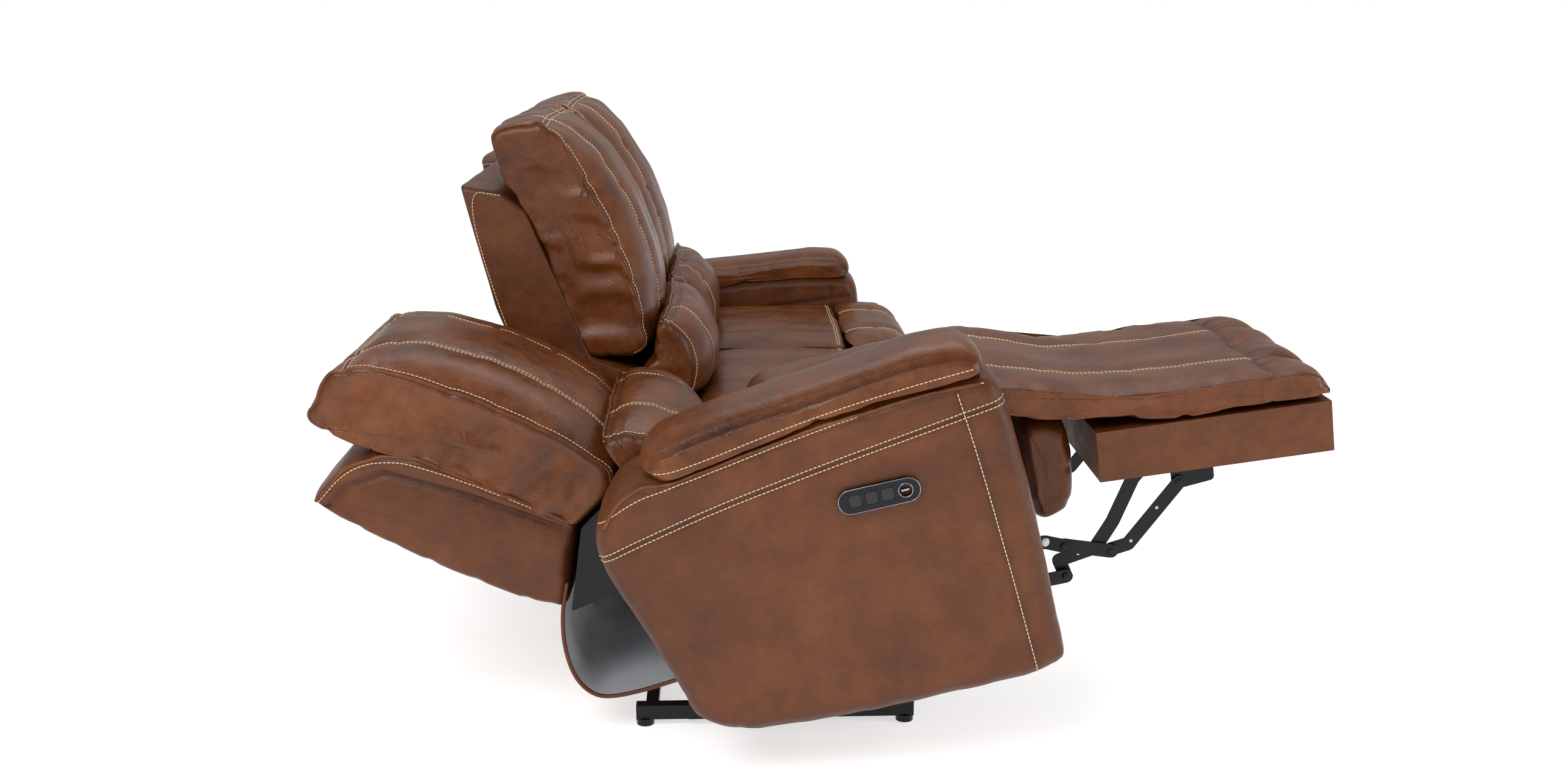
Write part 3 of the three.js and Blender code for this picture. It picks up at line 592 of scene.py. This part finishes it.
def back(place):
    """Head and lumbar cushions on their shell, with double-stitched seams."""
    part = "back"
    centre = PLACES[place]
    y0, y1 = centre - HALF, centre + HALF
    seed = {"near": 11, "middle": 29, "far": 47}[place]
    head = Padded(f"{place}_head_cushion_leather", place, part, HEAD_CROWN, y0, y1, rim=HEAD_RIM,
                  fullness=2.4, ease=0.75, bulge=13, seams=(-PANEL_SEAM, PANEL_SEAM),
                  cross=((-470, 594),), puff=6, pucker=3.2, folds=3, side_folds=9, seed=seed)
    head.build(LEATHER, (f"{place}_head_cushion",))
    lumbar = Padded(f"{place}_lumbar_cushion_leather", place, part, LUMBAR_CROWN, y0, y1,
                    rim=LUMBAR_RIM, fullness=2.4, ease=0.8, bulge=11,
                    seams=(-PANEL_SEAM, PANEL_SEAM), cross=((-195, 190),), puff=5, pucker=3.4,
                    folds=4, side_folds=4, seed=seed + 3)
    lumbar.build(LEATHER, (f"{place}_lumbar_cushion",))
    rows = []
    for seam in (-PANEL_SEAM, PANEL_SEAM):
        rows += pair(lambda g: head.along(centre + seam + g, (-234, 132), (-580, 574)))
        rows += pair(lambda g: lumbar.along(centre + seam + g, (-128, 6), (-232, 180)))
    for y in (y0 + 20, y1 - 20):
        rows.append(head.along(y, (-284, 128), (-578, 572)))
        rows.append(lumbar.along(y, (-162, 32), (-214, 170)))
    for shift in (-6, 6):
        rows.append(head.across((-470, 594), y0 + 30, y1 - 30, shift=shift))
    sew(f"{place}_back_stitching", place, part, rows)
    piping(f"{place}_back_piping", place, part, [
        head.along(y0 + 14, (-264, 100), (-548, 452), lift=-1),
        head.along(y1 - 14, (-264, 100), (-548, 452), lift=-1),
        lumbar.across((-212, 186), y0 + 16, y1 - 16, lift=3)], radius=3.5)
    if place == "middle":
        shell = Padded("middle_back_shell_leather", place, part, MIDDLE_SHELL, y0, y1, rim_inset=3,
                       fullness=30, ease=0.6, bulge=2, puff=0, pucker=0, folds=1, side_folds=0,
                       soften=3, seed=5)
        edge = [(-412, -130), (-443, -62), (-494, 4), (-571, 207), (-632, 457), (-560, 445)]
    else:
        # the crease along the shell's top edge, sunk as two grooves and marked with painted shade
        crease = [(-672, 436), (-615, 442), (-551, 410), (-467, 262), (-384, 86)]
        shell = Padded(f"{place}_back_shell_leather", place, part, SHELL_SIDE, y0 - 1, y1 + 1,
                       rim_inset=12, fullness=6, ease=0.6, bulge=9, puff=2, pucker=1.5, folds=2,
                       side_folds=1.2, soften=5, seed=seed + 6,
                       grooves=((crease, 5, 8), (crease, 26, 5)))
        edge = [(-672, 454), (-596, 460), (-540, 432), (-490, 374), (-378, 106)]
    shell.build(PANEL, (f"{place}_back_shell",))
    lines = [shell.on_side(edge, side) for side in (-1, 1)]
    sew(f"{place}_shell_stitching", place, part, lines)
    if place != "middle":
        rim = [shell.along(y, (-372, 120), (-688, 468), lift=0) for y in (y0 + 9, y1 - 9)]
        piping(f"{place}_shell_piping", place, part, rim, radius=4.5)


# ------------------------------------------------------------------ seats and footrests
SEAT = [(-173, -84), (208, -84), (220, -62), (220, -12), (206, 4), (60, 8), (-105, 4), (-143, -8),
        (-173, -38)]
CLOSED_PAD = [
    (214, -10), (222, 6), (262, 14), (312, 14), (356, 4), (382, -18), (393, -58), (392, -140),
    (391, -300), (389, -415), (376, -437), (348, -437), (346, -150), (345.5, -4), (300, -4)]
OPEN_PAD = [
    (214, -22), (226, 5), (300, 1), (392, -32), (460, -61), (600, -82), (760, -99), (806, -105),
    (852, -106), (888, -120), (908, -144), (908, -168), (898, -175), (850, -170), (760, -162),
    (650, -150), (560, -138), (480, -120), (420, -106), (360, -90), (300, -66), (250, -44)]
FLAP = [
    (334, -103), (326, -200), (331, -290), (348, -303), (397, -290), (414, -262), (427, -180),
    (424, -128), (392, -108)]
# where the footrest pad leaves the seat and where it meets the board, in metres of a closed place
PAD_SPAN = {"near": ((0.30, 0, 0.50), (0.36, 0, 0.47)), "far": ((0.31, 0, 0.50), (0.39, 0, 0.44))}


def seat(place):
    """Seat cushion and the pad in front of it, which bends from the seat on to a footrest board."""
    part = "chassis"
    centre = PLACES[place]
    y0, y1 = centre - HALF, centre + HALF
    seed = {"near": 61, "middle": 73, "far": 85}[place]
    base = Padded(f"{place}_seat_cushion_leather", place, part, SEAT, y0, y1, rim_inset=10,
                  fullness=4, ease=0.7, bulge=6, seams=(-PANEL_SEAM, PANEL_SEAM), seam_depth=0.5,
                  puff=3, pucker=1.0, folds=4, side_folds=1, seed=seed)
    base.build(LEATHER, (f"{place}_seat_cushion",))
    opened = place == "near"
    outline = OPEN_PAD if opened else CLOSED_PAD
    name = "front_pad" if place == "middle" else "footrest_pad"
    cross = ((806, -105),) if opened else ()
    pad = Padded(f"{place}_{name}_leather", place, part, outline, y0, y1,
                 rim_inset=9, fullness=5, ease=0.7, bulge=5,
                 seams=(-PANEL_SEAM, PANEL_SEAM), cross=cross, puff=5, pucker=3.6,
                 folds=5 if opened else 3, side_folds=1, seed=seed + 4, soften=7)
    blend = None
    if place != "middle":
        start, end = (at_rest(np.array([p]) * 1000, place, part)[0] / 1000 for p in PAD_SPAN[place])
        blend = (f"{place}_chassis", f"{place}_footrest", tuple(start), tuple(end))
    pad.build(LEATHER, (f"{place}_{name}",), blend=blend)
    # the roll at the end of an open footrest has no top stitching
    tip, heel = ((800, -104), (226, 5)) if opened else ((389, -415), (222, 6))
    rows = []
    for seam in (-PANEL_SEAM, PANEL_SEAM):
        rows += pair(lambda g: pad.along(centre + seam + g, heel, tip))
    sew(f"{place}_{name}_stitching", place, part, rows, blend=blend)
    sew(f"{place}_seat_stitching", place, part,
        [base.across((196, 4), y0 + 12, y1 - 12, shift=shift) for shift in (0, 8)])


def hanging_flap(place):
    """The stuffed leather flap that hangs between the seat and an open footrest."""
    centre = PLACES[place]
    flap = Padded(f"{place}_flap_leather", place, "flap", FLAP, centre - FLAP_HALF, centre + FLAP_HALF,
                  rim_inset=12, fullness=7, ease=0.6, bulge=7, puff=2, pucker=2, folds=3,
                  side_folds=2, seed=33, soften=6)
    flap.build(PANEL, (f"{place}_mid_flap",))


# ------------------------------------------------------------------ arms
ARM = [
    (20, -4), (20, 160), (16, 320), (7, 440), (0, 506), (-24, 529), (-140, 530), (-318, 515),
    (-582, 474), (-622, 482), (-672, 466), (-714, 420), (-727, 383), (-720, 331), (-684, 222),
    (-650, 104), (-632, 40), (-590, 10), (-533, -9), (-442, -19), (-258, -23), (-30, -20)]
ARM_PAD = [
    (-22, 528), (-16, 560), (-50, 591), (-126, 594), (-305, 574), (-469, 558), (-586, 539),
    (-628, 504), (-588, 468), (-318, 512), (-140, 528)]
ARM_PAD_RIM = [
    (-26, 530), (-24, 548), (-54, 566), (-126, 568), (-305, 549), (-469, 532), (-580, 512),
    (-610, 496), (-588, 470), (-318, 514), (-140, 530)]


def arm_points(points):
    """Points given from the arm's front and underside, as profile points."""
    return [(x + ARM_FRONT, z + ARM_CLEARANCE - SEAT_TOP) for x, z in points]


def arm(place):
    """Arm body with its stitched band and front seam, and the pillow pad on top."""
    part, side = "chassis", ARM_SIDE[place]
    y0, y1 = sorted((side * ARM_INNER, side * ARM_OUTER))
    band = arm_points([(-724, 358), (-640, 378), (-483, 411), (-267, 443), (8, 480)])
    front = arm_points([(-74, 506), (-62, 400), (-46, 200), (-33, -14)])
    seed = {"near": 91, "far": 97}[place]
    # the band and the front seam are sunk as grooves and marked with painted shade
    body = Padded(f"{place}_arm_body_leather", place, part, arm_points(ARM), y0, y1, rim_inset=13,
                  fullness=10, ease=0.55, bulge=5, puff=4, pucker=1.2, folds=2.0, side_folds=1.0,
                  seed=seed, soften=7, grooves=((band, 5, 2.5), (front, 5, 2)))
    body.build(PANEL, (f"{place}_arm_body",))
    p0, p1 = sorted((side * (ARM_INNER + ARM_PAD_SHIFT), side * (ARM_OUTER + ARM_PAD_SHIFT)))
    pad = Padded(f"{place}_arm_pad_leather", place, part, arm_points(ARM_PAD), p0, p1,
                 rim=arm_points(ARM_PAD_RIM), fullness=3.4, ease=0.6, bulge=10, puff=2, pucker=1.8,
                 folds=1.2, side_folds=1.2, seed=seed + 2, soften=8)
    pad.build(LEATHER, (f"{place}_arm_pad",))
    rows = [body.on_side([(x, z + shift) for x, z in band], side) for shift in (-5, 5)]
    rows.append(body.on_side(front, side))
    lower = arm_points([(-712, 420), (-640, 451), (-582, 457), (-318, 501), (-140, 517), (-30, 516)])
    rows.append(body.on_side(lower, side))
    pad_low = arm_points([(-596, 489), (-560, 485), (-318, 526), (-140, 541), (-44, 545)])
    rows.append(pad.on_side(pad_low, side))
    sew(f"{place}_arm_stitching", place, part, rows)
    rim_y = side * (ARM_OUTER - 6)
    cord = body.along(rim_y, arm_points([(-30, 529)])[0], arm_points([(-714, 420)])[0], lift=0)
    piping(f"{place}_arm_piping", place, part, [cord], radius=4)


# ------------------------------------------------------------------ rear skirts
SKIRTS = {
    "near": [(-545, -196), (-567, -252), (-580, -320), (-575, -386), (-552, -424), (-520, -436),
             (-455, -436), (-391, -430)],
    "far": [(-508, -20), (-486, -90), (-450, -224), (-420, -330), (-391, -430)]}


def skirt(place):
    """One sheet of leather lined with grey cloth, hung from the back shell to the chassis."""
    centre, step = PLACES[place], 9
    line = fill_path(SKIRTS[place], step)
    across = np.linspace(centre - SKIRT_HALF, centre + SKIRT_HALF, 62)
    grid = np.empty((len(line), len(across), 3))
    grid[..., 0], grid[..., 2] = line[:, 0][:, None], line[:, 1][:, None] + SEAT_TOP
    grid[..., 1] = across[None]
    arc = np.arange(len(line)) * float(step)
    ripple = 4 * field(across[None] / 70, arc[:, None] / 150, 7 + centre % 5)
    grid[..., 0] += ripple * np.sin(np.linspace(0, math.pi, len(line)))[:, None]
    points = at_rest(grid, place, "chassis") / 1000
    rows, columns = grid.shape[:2]
    faces = [(r * columns + c, r * columns + c + 1, (r + 1) * columns + c + 1, (r + 1) * columns + c)
             for r in range(rows - 1) for c in range(columns - 1)]
    obj = mesh_object(f"{place}_rear_skirt_cloth", points.reshape(-1, 3), faces, PANEL)
    obj.data.materials.append(LINING)
    wall = obj.modifiers.new("wall", "SOLIDIFY")
    wall.thickness, wall.offset = 0.003, 0
    wall.material_offset = 1
    wall.material_offset_rim = 0
    bake(obj)
    start, end = (tuple(at_rest(np.array([[x, centre, z + SEAT_TOP]]), place, "chassis")[0] / 1000)
                  for x, z in (line[-1], line[0]))
    span = (f"{place}_chassis", f"{place}_back", start, end)
    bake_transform(obj)
    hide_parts(f"{place}_rear_skirt")
    piping(f"{place}_rear_skirt_binding", place, "chassis", [grid[:, 0], grid[:, -1]], radius=4,
           material=PANEL, blend=span)


# ------------------------------------------------------------------ control panel
PANEL_X, PANEL_Z = 46, 423  # middle of the panel, with Z from the floor
PANEL_FACE, SOCKET_FLOOR = 1077.2, 1073
PANEL_STRAIGHT, PANEL_ROUND = 49.5, 21  # half of the straight edge, and the radius of the ends
SOCKET_X, SOCKET_RADIUS = 45.5, 12.2


def closed_loop(points):
    """A loop run on past its first points, so that its cord closes."""
    return np.concatenate([points, points[:2]])


def panel_trim(place):
    """Bright rim round the control panel, and the charging socket's rim and tongue."""
    side = ARM_SIDE[place]
    turn = np.linspace(-math.pi / 2, math.pi / 2, 14)
    ends = [[(PANEL_X + end * (PANEL_STRAIGHT + PANEL_ROUND * math.cos(a)), side * PANEL_FACE,
              PANEL_Z + end * PANEL_ROUND * math.sin(a)) for a in turn] for end in (1, -1)]
    socket = [(PANEL_X + SOCKET_X + SOCKET_RADIUS * math.cos(a), side * PANEL_FACE,
               PANEL_Z + SOCKET_RADIUS * math.sin(a)) for a in np.linspace(0, 2 * math.pi, 25)[:-1]]
    piping(f"{place}_panel_rim", place, "chassis", [closed_loop(ends[0] + ends[1])], radius=0.8,
           material=BRIGHT_CHROME)
    piping(f"{place}_socket_rim", place, "chassis", [closed_loop(socket)], radius=0.9,
           material=BRIGHT_CHROME)
    tongue = np.array([(PANEL_X + x, side * SOCKET_FLOOR, PANEL_Z) for x in (39, 52)])
    piping(f"{place}_socket_tongue", place, "chassis", [tongue], radius=2.2, material=ZINC)


# ------------------------------------------------------------------ link fasteners
PLATE_STEP, PLATE_REACH = 5, 281  # plates stand in planes, counted inwards from the chassis plate


def studs(name, place, part, points, y, radius, height, material):
    """Domed rivet heads on the face of a plate that looks away from the middle of its place."""
    verts, faces = [], []
    out = 1 if y > PLACES[place] else -1
    for x, z in points:
        base = len(verts)
        for r, h in ((radius, 0), (radius, height * 0.5), (radius * 0.72, height), (0.01, height * 1.12)):
            for k in range(16):
                a = 2 * math.pi * k / 16
                verts.append((x + r * math.cos(a), y + out * h, z + SEAT_TOP + r * math.sin(a)))
        for ring in range(3):
            for k in range(16):
                a, b = base + ring * 16 + k, base + ring * 16 + (k + 1) % 16
                faces.append((a, b, b + 16, a + 16))
        faces.append(tuple(base + k for k in range(15, -1, -1)))
        faces.append(tuple(base + 48 + k for k in range(16)))
    obj = mesh_object(name, at_rest(np.array(verts, float), place, "chassis") / 1000, faces, material)
    recalculate_outward(obj)
    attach(obj, body_name(place, part))


def fasten(name, part, points, plane, radius, height, material):
    """The same fasteners on the near place's right and left links."""
    reach = PLATE_REACH - PLATE_STEP * plane
    for side_name, side in (("right", -1), ("left", 1)):
        studs(f"near_{name}_{side_name}", "near", part, points, PLACES["near"] + side * reach, radius,
              height, material)


# ------------------------------------------------------------------ assemble
for place_name in PLACES:
    back(place_name)
    seat(place_name)
for place_name in ARM_SIDE:
    arm(place_name)
    skirt(place_name)
    panel_trim(place_name)
for place_name in ARM_SIDE:
    hanging_flap(place_name)

# ------------------------------------------------------------------ finishes of the hard pieces
for name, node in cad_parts.items():
    if node.hide_render:
        continue
    node.data.materials.clear()
    if "footrest_board" in name:
        node.data.materials.append(PANEL)
        node.data.materials.append(STEEL)
        place_name = name.split("_")[0]
        # the brackets stand behind the board's open back, past its rim
        for polygon in node.data.polygons:
            p = np.array(polygon.center) * 1000
            if place_name == "near":
                p = turned(turned(p[None], TILT_POLE, -TILT), BOARD_POLE, -BOARD)[0]
            polygon.material_index = int(246 < abs(p[1] - PLACES[place_name]) < 252 and p[0] < 325)
        edge = node.modifiers.new("soft_edges", "BEVEL")
        edge.width, edge.segments, edge.limit_method = 0.004, 3, "ANGLE"
    elif "control_panel" in name:
        node.data.materials.append(DARK_CHROME)
    elif "button" in name or "motor" in name:
        node.data.materials.append(PLASTIC)
    elif "seat_frame" in name:
        node.data.materials.append(DUST_CLOTH)
    else:
        node.data.materials.append(STEEL)
        edge = node.modifiers.new("rolled_edges", "BEVEL")
        edge.width, edge.segments, edge.limit_method = 0.0007, 2, "ANGLE"

fasten("carrier_rivets", "carrier", [(368, -339), (361, -398)], 2, 8, 2.2, STEEL)
fasten("carrier_bolt", "carrier", [(334, -323)], 2, 9, 1.6, ZINC)
fasten("short_link_rivets", "short_links", [(453, -371)], 3, 7.5, 1.6, STEEL)
fasten("long_link_rivets", "long_links", [(426, -359), (595, -180)], 4, 7.5, 1.6, STEEL)
fasten("long_link_spots", "long_links", [(392, -363), (541, -218)], 4, 3.2, 0.5, ZINC)
fasten("elbow_link_rivets", "elbow_links", [(601, -271), (460, -371)], 5, 7.5, 1.6, STEEL)
fasten("elbow_link_spots", "elbow_links", [(494, -363), (552, -310)], 5, 3.2, 0.5, ZINC)

# ------------------------------------------------------------------ studio
FLOOR_REACH, FLOOR_DROP, SURROUND_REACH = 24, 0.0015, 25  # metres
floor_mesh = bpy.data.meshes.new("floor")
floor_mesh.from_pydata([(x * FLOOR_REACH, y * FLOOR_REACH, -FLOOR_DROP)
                        for x, y in ((-1, -1), (1, -1), (1, 1), (-1, 1))], [], [(0, 1, 2, 3)])
floor = bpy.data.objects.new("floor", floor_mesh)
bpy.context.scene.collection.objects.link(floor)
paper, paper_tree = new_material("pale_studio_floor")
add(paper_tree, "ShaderNodeOutputMaterial", Surface=add(
    paper_tree, "ShaderNodeBsdfPrincipled", Base_Color=linear("f4f4f4"), Roughness=0.9,
    Emission_Color=(1, 1, 1, 1), Emission_Strength=0.6).outputs[0])
floor_mesh.materials.append(paper)

world = bpy.data.worlds.new("studio")
world.use_nodes = True
world.node_tree.nodes["Background"].inputs["Color"].default_value = (1, 1, 1, 1)
world.node_tree.nodes["Background"].inputs["Strength"].default_value = 0.45
bpy.context.scene.world = world
bpy.context.scene.view_settings.view_transform = "Standard"


def soft_light(name, place, target, size, power):
    lamp = bpy.data.lights.new(name, "AREA")
    lamp.shape, lamp.size, lamp.size_y, lamp.energy = "RECTANGLE", size[0], size[1], power
    obj = bpy.data.objects.new(name, lamp)
    obj.location = place
    obj.rotation_mode = "QUATERNION"
    obj.rotation_quaternion = (Vector(target) - Vector(place)).to_track_quat("-Z", "Y")
    bpy.context.scene.collection.objects.link(obj)


soft_light("key", (-1.6, -3.4, 3.2), (0, -0.3, 0.5), (2.2, 1.8), 80)
soft_light("right_front", (3.6, -2.0, 1.7), (0.4, -0.6, 0.5), (1.2, 2.0), 45)
soft_light("top_strip", (0.2, 1.2, 3.3), (0, -0.2, 0.5), (3.0, 0.7), 24)

# a white surround that only the camera sees, so that it adds no haze to the leather
surround_mesh = bpy.data.meshes.new("white_surround")
reach = (-SURROUND_REACH, SURROUND_REACH)
corners = [(x, y, z) for x in reach for y in reach for z in reach]
surround_mesh.from_pydata(corners, [], [(0, 1, 3, 2), (4, 6, 7, 5), (0, 4, 5, 1), (2, 3, 7, 6),
                                        (0, 2, 6, 4), (1, 5, 7, 3)])
surround = bpy.data.objects.new("white_surround", surround_mesh)
bpy.context.scene.collection.objects.link(surround)
white, white_tree = new_material("white_card")
add(white_tree, "ShaderNodeOutputMaterial", Surface=add(
    white_tree, "ShaderNodeEmission", Color=(1, 1, 1, 1), Strength=1.0).outputs[0])
surround_mesh.materials.append(white)
surround.visible_diffuse = surround.visible_glossy = surround.visible_shadow = False
surround.visible_transmission = surround.visible_volume_scatter = False

camera = bpy.data.objects.new("camera", bpy.data.cameras.new("camera"))
bpy.context.scene.collection.objects.link(camera)
camera.data.sensor_width = 36
camera.data.lens = 36.83
camera.location = (-0.0863, -3.6485, 1.3483)
pitch, yaw = math.radians(13.683), math.radians(2.079)
look = Vector((math.sin(yaw) * math.cos(pitch), math.cos(yaw) * math.cos(pitch), -math.sin(pitch)))
camera.rotation_mode = "QUATERNION"
camera.rotation_quaternion = look.to_track_quat("-Z", "Y")
bpy.context.scene.camera = camera
